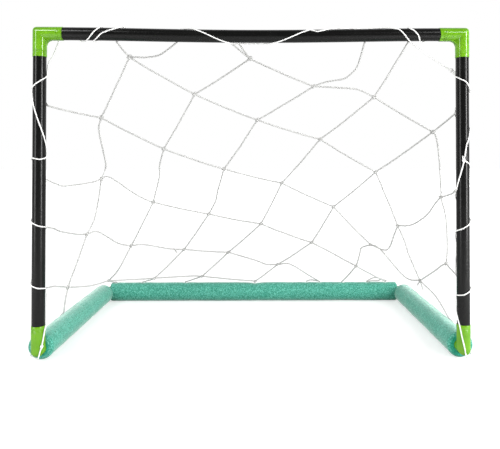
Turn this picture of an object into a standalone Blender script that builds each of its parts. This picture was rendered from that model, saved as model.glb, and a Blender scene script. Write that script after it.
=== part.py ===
"""Floating pool goal: two U frames of plastic tube joined by corner elbows, three foam floats and a knotted net.

Metres, +Z up. The goal's mouth faces -Y and the floats lie on the ground at z = 0. The modelling frame has its
origin under the middle of the crossbar; an empty moves the whole goal so that the origin of the scene is centred
under its box.
"""

import math

import bmesh
import bpy
from mathutils import Matrix, Vector

# Driving sizes of the frame
POST_SPACING = 0.885  # between the axes of the two posts
CROSSBAR_RISE = 0.6555  # from the axis of the base tubes to the axis of the crossbar
GOAL_DEPTH = 0.490  # from the axes of the posts to the axis of the back tube
CROSSBAR_SAG = 0.0045  # how far the middle of the crossbar hangs below its ends

TUBE_OD = 0.0267
TUBE_WALL = 0.0029
ELBOW_OD = 0.0285
ELBOW_LEG = 0.049  # from the corner of the axes to the end of the collar
CORNER_ROUND = 0.004
SPIGOT_LENGTH = 0.028  # how far a spigot reaches into its tube
SPIGOT_WALL = 0.0022
COLLAR_CHAMFER = 0.0008
GROOVE_FROM_END = 0.0083  # end of the collar to the first ring groove
GROOVE_PITCH = 0.0034
GROOVE_WIDTH = 0.0018
GROOVE_DEPTH = 0.0006
GUSSET_LEG = 0.0125  # along each leg, from the inner corner
GUSSET_THICKNESS = 0.012
GUSSET_EMBED = 0.002  # how far its sides run into the legs

FLOAT_OD = 0.054
FLOAT_SETBACK = 0.020  # from the axes of the posts to the front faces of the side floats
FLOAT_RIM = 0.003
FLOAT_FLAT = 0.0005  # depth of the flat that the floats rest on

TWINE_OD = 0.0026
KNOT_LENGTH = 0.0110
KNOT_WIDTH = 0.0062
TIE_LENGTH = 0.0080
TIE_WIDTH = 0.0066

FIT = 0.0003  # clearance of a sliding or touching fit
SLEEVE_SLACK = 0.001  # free length past each elbow's collar inside the foam
CUT_OVERRUN = 0.002  # how far a cutter runs past what it cuts

# Resolution of the round forms
TUBE_SIDES = 18
FLOAT_SIDES = 28
LACING_SIDES = 6
CUTTER_SIDES = 8
NET_SIDES = 4
TWINE_STEP = 22.5  # degrees between two points of twine wound round a tube

BORDER_ANGLE = -40  # where the border twine lies on the floats, in degrees from their outer side
BORDER_START = 0.010  # from the side floats' front faces to where the border twine meets them

# Sizes that follow from them
HALF = POST_SPACING / 2
TUBE_R = TUBE_OD / 2
ELBOW_R = ELBOW_OD / 2
FLOAT_R = FLOAT_OD / 2
TWINE_R = TWINE_OD / 2
BASE_Z = FLOAT_R - FLOAT_FLAT
CROSSBAR_Z = BASE_Z + CROSSBAR_RISE
SPIGOT_R = TUBE_R * math.cos(math.pi / TUBE_SIDES) - TUBE_WALL - FIT
TUBE_END = ELBOW_LEG + FIT
CHORD = math.cos(math.radians(TWINE_STEP / 2))
WIND_R = (TUBE_R + FIT + TWINE_R) / CHORD
ELBOW_WIND_R = (ELBOW_R + FIT + TWINE_R) / CHORD
FLOAT_WIND_R = (FLOAT_R + FIT + TWINE_R) / CHORD
FRONT_REACH = ELBOW_WIND_R + TWINE_R
BACK_REACH = GOAL_DEPTH + FLOAT_WIND_R + TWINE_R

for old in list(bpy.data.objects):
    bpy.data.objects.remove(old, do_unlink=True)

parts = bpy.data.collections.new("floating_pool_goal")
helpers = bpy.data.collections.new("cutters")
bpy.context.scene.collection.children.link(parts)
bpy.context.scene.collection.children.link(helpers)

goal = bpy.data.objects.new("goal_frame", None)
goal.location.y = -(BACK_REACH - FRONT_REACH) / 2
parts.objects.link(goal)


# Materials


def linear(hex_colour):
    """The linear colour of an sRGB hex value such as #7cb518."""
    channels = [int(hex_colour[i : i + 2], 16) / 255 for i in (1, 3, 5)]
    return [c / 12.92 if c <= 0.04045 else ((c + 0.055) / 1.055) ** 2.4 for c in channels] + [1]


def finish(name, hex_colour, roughness):
    made = bpy.data.materials.new(name)
    made.use_nodes = True
    shader = made.node_tree.nodes["Principled BSDF"]
    shader.inputs["Base Color"].default_value = linear(hex_colour)
    shader.inputs["Roughness"].default_value = roughness
    shader.inputs["Metallic"].default_value = 0
    made.diffuse_color = linear(hex_colour)
    return made


BLACK_PLASTIC = finish("black_plastic_tube", "#1c1c1b", 0.35)
LIME_PLASTIC = finish("lime_plastic", "#7fbf2a", 0.22)
TEAL_FOAM = finish("teal_foam", "#58b39d", 0.85)
WHITE_TWINE = finish("white_twine", "#dedede", 0.8)


# Making objects


def add_part(name, mesh, material, smooth_angle=35):
    mesh.materials.clear()
    mesh.materials.append(material)
    mesh.shade_smooth()
    mesh.set_sharp_from_angle(angle=math.radians(smooth_angle))
    made = bpy.data.objects.new(name, mesh)
    made.parent = goal
    parts.objects.link(made)
    return made


def add_helper(name, mesh):
    made = bpy.data.objects.new(name, mesh)
    made.hide_render = True
    made.display_type = "WIRE"
    made.parent = goal
    helpers.objects.link(made)
    return made


def mesh_from(bm, name):
    bmesh.ops.recalc_face_normals(bm, faces=bm.faces)
    mesh = bpy.data.meshes.new(name)
    bm.to_mesh(mesh)
    bm.free()
    return mesh


def evaluated_mesh(obj, name):
    """A new mesh of the object with its modifiers applied, in its own space."""
    bpy.context.view_layer.update()
    graph = bpy.context.evaluated_depsgraph_get()
    mesh = bpy.data.meshes.new_from_object(obj.evaluated_get(graph))
    mesh.name = name
    return mesh


def boolean(obj, operation, other):
    modifier = obj.modifiers.new(operation.lower() + "_" + other.name, "BOOLEAN")
    modifier.operation = operation
    modifier.solver = "EXACT"
    if isinstance(other, bpy.types.Collection):
        modifier.operand_type = "COLLECTION"
        modifier.collection = other
    else:
        modifier.object = other


def remove_helper(obj):
    bpy.data.objects.remove(obj, do_unlink=True)


def turned_mesh(name, profile, sides, closed):
    """Turns a profile of (radius, height) points, which runs down its outer side, round the Z axis."""
    mesh = bpy.data.meshes.new(name)
    count = len(profile)
    edges = [(i, i + 1) for i in range(count - 1)] + ([(count - 1, 0)] if closed else [])
    mesh.from_pydata([(radius, 0, height) for radius, height in profile], edges, [])
    obj = add_helper(name, mesh)
    screw = obj.modifiers.new("turn", "SCREW")
    screw.steps = screw.render_steps = sides
    screw.use_merge_vertices = True
    screw.merge_threshold = 0.00001
    made = evaluated_mesh(obj, name)
    remove_helper(obj)
    return made


def swept_mesh(name, points, radius, sides, capped=True):
    """A round tube along a polyline."""
    curve = bpy.data.curves.new(name, "CURVE")
    curve.dimensions = "3D"
    curve.bevel_depth = radius
    curve.bevel_resolution = (sides - 4) // 2
    curve.use_fill_caps = capped
    spline = curve.splines.new("POLY")
    spline.points.add(len(points) - 1)
    for point, place in zip(spline.points, points):
        point.co = (*place, 1)
    obj = bpy.data.objects.new(name, curve)
    helpers.objects.link(obj)
    mesh = evaluated_mesh(obj, name)
    remove_helper(obj)
    bm = bmesh.new()
    bm.from_mesh(mesh)
    bmesh.ops.remove_doubles(bm, verts=bm.verts, dist=0.000001)
    bpy.data.meshes.remove(mesh)
    return mesh_from(bm, name)


# Tubes: open pipes whose ends stop just short of the elbows' collars


def crossbar_height(x):
    """The height of the bowed crossbar's axis, level where it leaves the elbows."""
    share = x / (HALF - ELBOW_LEG)
    return CROSSBAR_Z - CROSSBAR_SAG * max(0, 1 - share * share) ** 2


def add_tube(name, points):
    made = add_part(name, swept_mesh(name, points, TUBE_R, TUBE_SIDES, capped=False), BLACK_PLASTIC)
    wall = made.modifiers.new("wall", "SOLIDIFY")
    wall.thickness = TUBE_WALL
    wall.offset = -1
    return made


CROSSBAR_PIECES = 8
bar_end = HALF - TUBE_END
bar_xs = [bar_end * (2 * i / CROSSBAR_PIECES - 1) for i in range(CROSSBAR_PIECES + 1)]
add_tube("crossbar_tube", [(x, 0, crossbar_height(x)) for x in bar_xs])
for side, word in ((-1, "left"), (1, "right")):
    x = side * HALF
    add_tube(f"{word}_post_tube", [(x, 0, BASE_Z + TUBE_END), (x, 0, CROSSBAR_Z - TUBE_END)])
    add_tube(f"{word}_base_tube", [(x, TUBE_END, BASE_Z), (x, GOAL_DEPTH - TUBE_END, BASE_Z)])
add_tube("back_base_tube", [(-bar_end, GOAL_DEPTH, BASE_Z), (bar_end, GOAL_DEPTH, BASE_Z)])


# Elbows: one mitred moulding, used six times


def elbow_leg_profile():
    """Down the outer side of one leg: spigot, shoulder, collar with two ring grooves, and past the mitre."""
    tip = ELBOW_LEG + SPIGOT_LENGTH
    points = [(0, tip), (SPIGOT_R - COLLAR_CHAMFER, tip), (SPIGOT_R, tip - COLLAR_CHAMFER)]
    points += [(SPIGOT_R, ELBOW_LEG), (ELBOW_R - COLLAR_CHAMFER, ELBOW_LEG), (ELBOW_R, ELBOW_LEG - COLLAR_CHAMFER)]
    for groove in range(2):
        middle = ELBOW_LEG - GROOVE_FROM_END - groove * GROOVE_PITCH
        points += [(ELBOW_R, middle + GROOVE_WIDTH / 2), (ELBOW_R - GROOVE_DEPTH, middle)]
        points += [(ELBOW_R, middle - GROOVE_WIDTH / 2)]
    return points + [(ELBOW_R, -2 * ELBOW_R)]


def mitred(name, leg_profile, sides, corner_round):
    """Two equal legs along +Z and +X: one is turned, cut on the mitre plane and mirrored across it."""
    bm = bmesh.new()
    leg = turned_mesh(name, leg_profile, sides, closed=False)
    bm.from_mesh(leg)
    bpy.data.meshes.remove(leg)
    everything = bm.verts[:] + bm.edges[:] + bm.faces[:]
    plane_normal = Vector((-1, 0, 1)).normalized()
    bmesh.ops.bisect_plane(
        bm, geom=everything, dist=0.0000001, plane_co=(0, 0, 0), plane_no=plane_normal, clear_inner=True
    )
    copy = bmesh.ops.duplicate(bm, geom=bm.verts[:] + bm.edges[:] + bm.faces[:])["geom"]
    swap_x_and_z = Matrix(((0, 0, 1, 0), (0, 1, 0, 0), (1, 0, 0, 0), (0, 0, 0, 1)))
    new_verts = [item for item in copy if isinstance(item, bmesh.types.BMVert)]
    bmesh.ops.transform(bm, matrix=swap_x_and_z, verts=new_verts)
    bmesh.ops.remove_doubles(bm, verts=bm.verts, dist=0.000001)
    bmesh.ops.recalc_face_normals(bm, faces=bm.faces)
    if corner_round:
        reach = -0.55 * leg_profile[-1][0]
        outer = [
            edge
            for edge in bm.edges
            if all(abs(v.co.x - v.co.z) < 0.000001 and v.co.x < reach for v in edge.verts)
        ]
        bmesh.ops.bevel(
            bm, geom=outer, offset=corner_round, segments=2, profile=0.5, affect="EDGES", clamp_overlap=True
        )
    return mesh_from(bm, name)


def gusset_mesh(name, grow=0):
    """A block whose flat front bridges the elbow's inner corner; the rest of it is inside the legs."""
    bm = bmesh.new()
    bmesh.ops.create_cube(bm, size=1)
    front = math.sqrt(2) * (ELBOW_R + GUSSET_LEG / 2) + grow
    depth = math.sqrt(2) * (ELBOW_R + GUSSET_LEG) / 2 + grow
    width = math.sqrt(2) * GUSSET_LEG + 2 * (GUSSET_EMBED + grow)
    bmesh.ops.scale(bm, vec=(width, GUSSET_THICKNESS + 2 * grow, depth), verts=bm.verts)
    bmesh.ops.translate(bm, vec=(0, 0, front - depth / 2), verts=bm.verts)
    bmesh.ops.rotate(bm, cent=(0, 0, 0), matrix=Matrix.Rotation(math.radians(45), 3, "Y"), verts=bm.verts)
    return mesh_from(bm, name)


def elbow_mesh():
    solid = add_helper("elbow_solid", mitred("elbow_solid", elbow_leg_profile(), TUBE_SIDES, CORNER_ROUND))
    gusset = add_helper("elbow_gusset", gusset_mesh("elbow_gusset"))
    boolean(solid, "UNION", gusset)

    bore_r = SPIGOT_R - SPIGOT_WALL
    past_tip = ELBOW_LEG + SPIGOT_LENGTH + CUT_OVERRUN
    bore_profile = [(0, past_tip), (bore_r, past_tip), (bore_r, -2 * bore_r)]
    bore = add_helper("elbow_bore", mitred("elbow_bore", bore_profile, 10, 0))
    boolean(solid, "DIFFERENCE", bore)

    made = evaluated_mesh(solid, "elbow")
    for helper in (solid, gusset, bore):
        remove_helper(helper)
    return made


ELBOW = elbow_mesh()


def add_elbow(name, corner, leg_a, leg_b):
    leg_a, leg_b = Vector(leg_a), Vector(leg_b)
    made = add_part(name, ELBOW, LIME_PLASTIC)
    turn = Matrix((leg_b, leg_a.cross(leg_b), leg_a)).transposed()
    slot = add_helper(name + "_gusset_slot", gusset_mesh(name + "_gusset_slot", FIT))
    made.matrix_local = slot.matrix_local = Matrix.Translation(corner) @ turn.to_4x4()
    gusset_slots[name] = slot


gusset_slots = {}
for side, word in ((-1, "left"), (1, "right")):
    x = side * HALF
    inward = (-side, 0, 0)
    add_elbow(f"top_{word}_elbow", (x, 0, CROSSBAR_Z), (0, 0, -1), inward)
    add_elbow(f"foot_{word}_elbow", (x, 0, BASE_Z), (0, 0, 1), (0, 1, 0))
    add_elbow(f"back_{word}_elbow", (x, GOAL_DEPTH, BASE_Z), (0, -1, 0), inward)


# Foam floats: thick tubes, stretched over the elbows' legs at both ends

bm = bmesh.new()
bmesh.ops.create_cube(bm, size=1)
slab_width = 2 * POST_SPACING
bmesh.ops.scale(bm, vec=(slab_width, 3 * GOAL_DEPTH, FLOAT_OD), verts=bm.verts)
bmesh.ops.translate(bm, vec=(0, GOAL_DEPTH / 2, -FLOAT_OD / 2), verts=bm.verts)
ground = add_helper("ground_cutter", mesh_from(bm, "ground_cutter"))


def float_profile(length, near_sleeve, far_sleeve):
    """Closed outline: down the outside with rounded rims, then up the stepped bore."""
    rim = [
        (FLOAT_R - FLOAT_RIM * (1 - math.sin(a)), length - FLOAT_RIM * (1 - math.cos(a)))
        for a in (0, math.pi / 4, math.pi / 2)
    ]
    points = rim + [(radius, length - height) for radius, height in reversed(rim)]
    wide = ELBOW_R + FIT
    narrow = TUBE_R + FIT
    points += [(wide, 0), (wide, near_sleeve), (narrow, near_sleeve)]
    points += [(narrow, length - far_sleeve), (wide, length - far_sleeve), (wide, length)]
    return points


def add_float(name, length, near_sleeve, far_sleeve, matrix, elbows):
    """A float, flat where it rests and slotted at its ends for the gussets of its two elbows."""
    mesh = turned_mesh(name, float_profile(length, near_sleeve, far_sleeve), FLOAT_SIDES, closed=True)
    made = add_part(name, mesh, TEAL_FOAM)
    made.matrix_local = matrix
    boolean(made, "DIFFERENCE", ground)
    for elbow in elbows:
        boolean(made, "DIFFERENCE", gusset_slots[elbow])


side_float_end = GOAL_DEPTH - FLOAT_R - FIT
along_y = Matrix.Rotation(math.radians(-90), 4, "X")
along_x = Matrix.Rotation(math.radians(90), 4, "Y")
for side, word in ((-1, "left"), (1, "right")):
    add_float(
        f"{word}_float",
        side_float_end - FLOAT_SETBACK,
        ELBOW_LEG - FLOAT_SETBACK + SLEEVE_SLACK,
        ELBOW_LEG - FLOAT_R - FIT + SLEEVE_SLACK,
        Matrix.Translation((side * HALF, FLOAT_SETBACK, BASE_Z)) @ along_y,
        (f"foot_{word}_elbow", f"back_{word}_elbow"),
    )
back_float_end = HALF - ELBOW_R - FIT
back_sleeve = ELBOW_LEG - ELBOW_R - FIT + SLEEVE_SLACK
add_float(
    "back_float",
    2 * back_float_end,
    back_sleeve,
    back_sleeve,
    Matrix.Translation((-back_float_end, GOAL_DEPTH, BASE_Z)) @ along_x,
    ("back_left_elbow", "back_right_elbow"),
)


# Places on the frame where twine lies. Round a tube, 0 degrees faces the front.


def on_bar(across, degrees):
    """Round the crossbar: 90 degrees is on top, 180 behind."""
    angle = math.radians(degrees)
    x = across * HALF
    return Vector((x, -WIND_R * math.cos(angle), crossbar_height(x) + WIND_R * math.sin(angle)))


def on_post(side, up, degrees, radius=WIND_R):
    """Round a post: 90 degrees is on its inner side, 180 behind."""
    angle = math.radians(degrees)
    x = side * (HALF - radius * math.sin(angle))
    return Vector((x, -radius * math.cos(angle), BASE_Z + up * CROSSBAR_RISE))


def on_left_post(up, degrees):
    return on_post(-1, up, degrees)


def on_right_post(up, degrees):
    return on_post(1, up, degrees)


def on_side_float(side, back, degrees):
    """Round a side float: 0 degrees is its outer side, 90 its top. Back is a share of the goal's depth."""
    angle = math.radians(degrees)
    x = side * (HALF + FLOAT_WIND_R * math.cos(angle))
    return Vector((x, back * GOAL_DEPTH, BASE_Z + FLOAT_WIND_R * math.sin(angle)))


def on_left_float(back, degrees):
    return on_side_float(-1, back, degrees)


def on_right_float(back, degrees):
    return on_side_float(1, back, degrees)


def on_back_float(across, degrees):
    """Round the back float: 0 degrees is its rear side, 90 its top."""
    angle = math.radians(degrees)
    y = GOAL_DEPTH + FLOAT_WIND_R * math.cos(angle)
    return Vector((across * HALF, y, BASE_Z + FLOAT_WIND_R * math.sin(angle)))


def wound(place, *turns, longest=0.06):
    """Points of twine wound through (share, degrees) turns of one tube or float."""
    points = [place(*turns[0])]
    for (share_a, degrees_a), (share_b, degrees_b) in zip(turns, turns[1:]):
        run = (place(share_b, degrees_b) - place(share_a, degrees_b)).length
        pieces = max(1, math.ceil(abs(degrees_b - degrees_a) / TWINE_STEP), math.ceil(run / longest))
        for i in range(1, pieces + 1):
            t = i / pieces
            points.append(place(share_a + t * (share_b - share_a), degrees_a + t * (degrees_b - degrees_a)))
    return points


def least_gap(points, apart=0.012):
    """The least clear distance of a twine to itself, between points over this far apart along it."""
    travelled = [0.0]
    for a, b in zip(points, points[1:]):
        travelled.append(travelled[-1] + (b - a).length)
    least = 1.0
    for i, a in enumerate(points):
        for j in range(i + 1, len(points)):
            if travelled[j] - travelled[i] > apart:
                least = min(least, (points[j] - a).length)
    return least - TWINE_OD


# Lacing: twine wound round the tubes, which holds the net's edges. Each turn is (share along, degrees).

CROSSBAR_TURNS = [
    (-0.84, 200), (-0.78, 270), (-0.748, 360), (-0.716, 450), (-0.731, 540), (-0.746, 630),
    (-0.689, 720), (-0.632, 810), (-0.600, 840), (-0.355, 840), (-0.290, 825), (-0.265, 810),
    (-0.183, 720), (-0.100, 630), (-0.094, 622), (-0.061, 608), (0.060, 608), (0.098, 630),
    (0.187, 720), (0.275, 810), (0.308, 790), (0.360, 825), (0.541, 835), (0.640, 825),
    (0.670, 810), (0.694, 782), (0.724, 720), (0.754, 630), (0.750, 540), (0.745, 450),
    (0.772, 360), (0.798, 270), (0.840, 215),
]  # fmt: skip
LEFT_POST_TURNS = [
    (0.890, 110), (0.864, 90), (0.846, 0), (0.827, -90), (0.812, -97), (0.764, -56),
    (0.704, 5), (0.642, 80), (0.616, 97), (0.606, 88), (0.598, 0), (0.596, -90),
    (0.577, -180), (0.535, -225), (0.463, -180), (0.402, -90), (0.389, 0), (0.385, 90),
    (0.371, 180), (0.295, 190), (0.205, 270), (0.196, 360), (0.192, 450), (0.178, 462),
]  # fmt: skip
RIGHT_POST_TURNS = [
    (0.885, 120), (0.867, 90), (0.845, -36), (0.827, -90), (0.790, -180), (0.747, -250),
    (0.720, -180), (0.694, -95), (0.646, -36), (0.592, -10), (0.551, 20), (0.503, 78),
    (0.485, 110), (0.450, 180), (0.402, 270), (0.380, 360), (0.370, 450), (0.330, 505),
    (0.232, 475), (0.210, 540), (0.188, 630), (0.172, 720), (0.167, 810), (0.155, 820),
]  # fmt: skip
LACINGS = {
    "crossbar_lacing": wound(on_bar, *CROSSBAR_TURNS),
    "left_post_lacing": wound(on_left_post, *LEFT_POST_TURNS),
    "right_post_lacing": wound(on_right_post, *RIGHT_POST_TURNS),
}
for name, points in LACINGS.items():
    print(f"{name}: least gap to itself {1000 * least_gap(points):.2f} mm")


# Border twine: from one post's foot, round the outer lower side of the three floats, to the other foot


def smooth_route(points, pieces=2):
    """A Catmull-Rom curve through the points."""
    ends = [2 * points[0] - points[1], *points, 2 * points[-1] - points[-2]]
    made = [points[0]]
    for a, b, c, d in zip(ends, ends[1:], ends[2:], ends[3:]):
        for i in range(1, pieces + 1):
            t = i / pieces
            middle = (c - a) * t + (2 * a - 5 * b + 4 * c - d) * t**2 + (3 * b - a - 3 * c + d) * t**3
            made.append(b + middle / 2)
    return made


def foot_route(side, front_turns):
    """Down the post's inner edge, across the front of the foot elbow, under it and out to the side float."""
    r = ELBOW_WIND_R
    down_front = wound(lambda up, degrees: on_post(side, up, degrees, r), *front_turns)
    beside_foot = [(0.000, -r, -0.55 * r), (0.001, -0.96 * r, -0.94 * r), (0.003, -0.55 * r, -1.02 * r)]
    beside_foot += [(0.45 * FLOAT_WIND_R, 0.1 * r, -1.05 * r), (0.70 * FLOAT_WIND_R, 0.6 * r, -1.13 * r)]
    under = [Vector((side * (HALF + out), y, BASE_Z + z)) for out, y, z in beside_foot]
    start = (FLOAT_SETBACK + BORDER_START) / GOAL_DEPTH
    return down_front[:-1] + smooth_route([down_front[-1], *under, on_side_float(side, start, BORDER_ANGLE)])


def corner_arc(side, pieces=4):
    """Round the outside of a back corner, at the border twine's distance from the axes."""
    out = FLOAT_WIND_R * math.cos(math.radians(BORDER_ANGLE))
    z = BASE_Z + FLOAT_WIND_R * math.sin(math.radians(BORDER_ANGLE))
    angles = [math.pi / 2 * i / pieces for i in range(pieces + 1)]
    return [Vector((side * (HALF + out * math.cos(a)), GOAL_DEPTH + out * math.sin(a), z)) for a in angles]


left_foot = foot_route(-1, [(0.150, 97), (0.100, 95), (0.058, 52), (0.027, 30), (0.008, 16)])
right_foot = foot_route(1, [(0.140, 95), (0.110, 78), (0.075, 42), (0.030, 16), (0.004, 2)])
border = left_foot + corner_arc(-1) + corner_arc(1)[::-1] + right_foot[::-1]

for name in ("left_post_lacing", "right_post_lacing"):
    add_part(name, swept_mesh(name, LACINGS[name], TWINE_R, LACING_SIDES), WHITE_TWINE)
add_part("border_twine", swept_mesh("border_twine", border, TWINE_R, LACING_SIDES), WHITE_TWINE)


# Net: a square mesh hung askew, so its two families of lines, a and b, run down to the left and to the right.


def drape(across, up):
    """How far back the net hangs, as a share of the depth: a taut slope whose sides come forward to the posts."""
    slope = (1 - up) * CROSSBAR_RISE / (CROSSBAR_RISE - FLOAT_R)
    side = min(abs(across), 0.999)
    return slope * (1 - side**2.5) ** 0.4


def hung(across, up, back=None):
    """A place on the net: shares of the half width, of the rise and, near the floats, of the depth."""
    back = drape(across, up) if back is None else back
    return Vector((across * HALF, back * GOAL_DEPTH, BASE_Z + up * CROSSBAR_RISE))


KNOTS = {
    "a1b1": (-0.595, 0.935), "a1b2": (-0.775, 0.745), "a1b3": (-0.820, 0.530), "a1b4": (-0.910, 0.325),
    "a1b5": (-1.010, 0.130, 0.37), "a2b0": (-0.010, 0.932), "a2b1": (-0.295, 0.825), "a2b2": (-0.485, 0.640),
    "a2b3": (-0.580, 0.435), "a2b4": (-0.730, 0.255), "a2b5": (-0.900, 0.095, 0.73), "a3b0": (0.310, 0.850),
    "a3b1": (0.025, 0.742), "a3b2": (-0.165, 0.565), "a3b3": (-0.270, 0.380), "a3b4": (-0.440, 0.220),
    "a3b5": (-0.635, 0.090, 0.82), "a4b0": (0.620, 0.815), "a4b1": (0.365, 0.675), "a4b2": (0.165, 0.510),
    "a4b3": (0.045, 0.335), "a4b4": (-0.165, 0.200), "a4b5": (-0.345, 0.080, 0.93), "a5b0": (0.918, 0.695),
    "a5b1": (0.680, 0.555), "a5b2": (0.475, 0.413), "a5b3": (0.365, 0.250), "a5b4": (0.157, 0.138),
    "a5b5": (0.008, 0.052, 0.965), "a6b0": (0.970, 0.470), "a6b1": (0.825, 0.347), "a6b2": (0.708, 0.255),
    "a6b3": (0.645, 0.150), "a7b0": (0.988, 0.242, 0.17), "a7b1": (0.960, 0.132, 0.49),
}  # fmt: skip


def route(*stops):
    """Points of one line of the net. A stop is a knot's name, a free place, or a list of points on the frame."""
    points = []
    for stop in stops:
        if isinstance(stop, str):
            points.append(hung(*KNOTS[stop]))
        elif isinstance(stop, tuple):
            points.append(hung(*stop))
        else:
            points += stop
    return points


def over_left_float(back):
    return wound(on_left_float, (back, 55), (back, BORDER_ANGLE))


def over_right_float(back):
    return wound(on_right_float, (back, 55), (back, BORDER_ANGLE))


def over_back_float(across):
    return wound(on_back_float, (across, 75), (across, BORDER_ANGLE))


LINES = {
    "a1": route(
        wound(on_bar, (-0.355, 840), (-0.356, 945)), (-0.413, 0.954), (-0.451, 0.942), (-0.505, 0.935), "a1b1", "a1b2",
        (-0.795, 0.708), (-0.792, 0.642), (-0.790, 0.576), "a1b3", (-0.845, 0.455), (-0.875, 0.380), "a1b4", "a1b5",
        (-1.022, 0.085, 0.37), over_left_float(0.38),
    ),
    "a2": route(
        wound(on_bar, (-0.094, 622)), "a2b0", "a2b1", "a2b2", (-0.518, 0.580), (-0.528, 0.535), "a2b3", "a2b4",
        (-0.805, 0.162), "a2b5", over_back_float(-0.940),
    ),
    "a2_second": route("a2b0", wound(on_bar, (-0.061, 608))),
    "a3": route(
        wound(on_bar, (0.541, 835), (0.540, 955)), (0.523, 0.922), (0.511, 0.901), (0.489, 0.885), (0.457, 0.873),
        (0.373, 0.864), "a3b0", "a3b1", "a3b2", (-0.205, 0.482), (-0.222, 0.440), "a3b3", "a3b4", "a3b5",
        over_back_float(-0.680),
    ),
    "a4": route(
        wound(on_bar, (0.750, 540), (0.748, 600)), "a4b0", "a4b1", "a4b2", "a4b3", "a4b4", "a4b5",
        over_back_float(-0.470),
    ),
    "a5": route(
        wound(on_right_post, (0.747, 110)), "a5b0", "a5b1", "a5b2", "a5b3", "a5b4", "a5b5", over_back_float(0.005)
    ),
    "a6": route(
        wound(on_right_post, (0.503, 78), (0.500, 112)), (0.982, 0.485, 0.09), "a6b0", (0.958, 0.450),
        (0.933, 0.400), (0.882, 0.357), "a6b1", (0.813, 0.304), (0.801, 0.253), (0.774, 0.240), "a6b2",
        (0.662, 0.240), (0.657, 0.209), "a6b3", over_back_float(0.600),
    ),
    "a7": route(
        wound(on_right_post, (0.232, 115)), "a7b0", (0.985, 0.234, 0.21), (0.972, 0.200, 0.29), "a7b1",
        (1.006, 0.096, 0.39), (1.022, 0.066, 0.31), over_right_float(0.265),
    ),
    "b0": route(
        "a2b0", "a3b0", (0.465, 0.845), (0.542, 0.838), "a4b0", "a5b0", (0.934, 0.678), (0.952, 0.613), (0.968, 0.500),
        "a6b0", (0.985, 0.400, 0.17), (0.990, 0.310, 0.165), "a7b0",
    ),
    "b1": route(
        wound(on_bar, (-0.600, 840), (-0.628, 900), (-0.644, 965)), "a1b1", "a2b1", "a3b1", "a4b1", "a5b1",
        (0.768, 0.436), "a6b1", (0.863, 0.289), (0.888, 0.235), "a7b1",
    ),
    "b2": route(
        wound(on_left_post, (0.815, -96), (0.771, -250)), "a1b2", "a2b2", "a3b2", "a4b2", "a5b2", "a6b2",
        (0.760, 0.240), (0.892, 0.137, 0.55), "a7b1",
    ),
    "b3": route(
        wound(on_left_post, (0.535, 135)), (-0.963, 0.522, 0.09), (-0.942, 0.512, 0.16), (-0.866, 0.518), "a1b3",
        (-0.780, 0.537), (-0.680, 0.477), (-0.619, 0.447), "a2b3", "a3b3", "a4b3", "a5b3", (0.515, 0.197), "a6b3",
        (0.790, 0.090, 0.86), over_back_float(0.900),
    ),
    "b4": route(
        wound(on_left_post, (0.385, 90)), (-0.963, 0.372, 0.09), (-0.960, 0.357, 0.16), (-0.942, 0.331), "a1b4",
        (-0.865, 0.328), (-0.790, 0.272), "a2b4", (-0.656, 0.254), (-0.517, 0.227), "a3b4", "a4b4", (0.005, 0.160),
        (0.086, 0.138), "a5b4", (0.236, 0.140), (0.361, 0.090, 0.94), over_back_float(0.470),
    ),
    "b5": route(
        wound(on_left_post, (0.192, 90)), (-0.985, 0.175, 0.14), "a1b5", (-0.957, 0.102, 0.57), "a2b5",
        (-0.784, 0.084, 0.82), "a3b5", (-0.424, 0.083, 0.92), "a4b5", (-0.208, 0.067, 0.95), "a5b5",
    ),
}  # fmt: skip


def knot_mesh(name, place, along, length, width):
    """An egg-shaped knot, longest along its line."""
    bm = bmesh.new()
    bmesh.ops.create_uvsphere(bm, u_segments=6, v_segments=3, radius=0.5)
    bmesh.ops.scale(bm, vec=(width, width, length), verts=bm.verts)
    turn = along.to_track_quat("Z", "Y").to_matrix()
    bmesh.ops.rotate(bm, cent=(0, 0, 0), matrix=turn, verts=bm.verts)
    bmesh.ops.translate(bm, vec=place, verts=bm.verts)
    return mesh_from(bm, name)


def joined_twine(name, lines, knots, cutters, sides):
    """One solid of lines and knots. Each cutter is (points, radius) of a tube that it must clear."""
    pieces = bpy.data.collections.new(name + "_pieces")
    helpers.children.link(pieces)
    meshes = [swept_mesh(f"{name}_line_{key}", points, TWINE_R, sides) for key, points in lines.items()]
    meshes += [knot_mesh(f"{name}_knot_{i}", *knot) for i, knot in enumerate(knots)]
    whole = add_helper(name + "_whole", meshes[0])
    made = [add_helper(mesh.name, mesh) for mesh in meshes[1:]]
    for piece in made:
        helpers.objects.unlink(piece)
        pieces.objects.link(piece)
    boolean(whole, "UNION", pieces)
    for i, (points, radius) in enumerate(cutters):
        cutter = add_helper(f"{name}_cutter_{i}", swept_mesh(f"{name}_cutter_{i}", points, radius, CUTTER_SIDES))
        boolean(whole, "DIFFERENCE", cutter)
        made.append(cutter)
    mesh = evaluated_mesh(whole, name)
    for helper in [whole, *made]:
        remove_helper(helper)
    bpy.data.collections.remove(pieces)
    return add_part(name, mesh, WHITE_TWINE)


def knots_on_lines():
    """Every knot with the direction of the a line through it."""
    made = []
    for key, place in KNOTS.items():
        spot = hung(*place)
        line = LINES[key[:2]]
        i = min(range(len(line)), key=lambda n: (line[n] - spot).length)
        along = line[min(i + 1, len(line) - 1)] - line[max(i - 1, 0)]
        made.append((spot, along, KNOT_LENGTH, KNOT_WIDTH))
    return made


CLEAR_OF_TWINE = (TWINE_R + FIT) / math.cos(math.pi / CUTTER_SIDES)
lacing_cutters = [(points, CLEAR_OF_TWINE) for points in LACINGS.values()]
joined_twine("net", LINES, knots_on_lines(), [*lacing_cutters, (border, CLEAR_OF_TWINE)], NET_SIDES)

# The crossbar's lacing runs on to each post as a free strand; the right one leaves from the front, past a knot.

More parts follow.
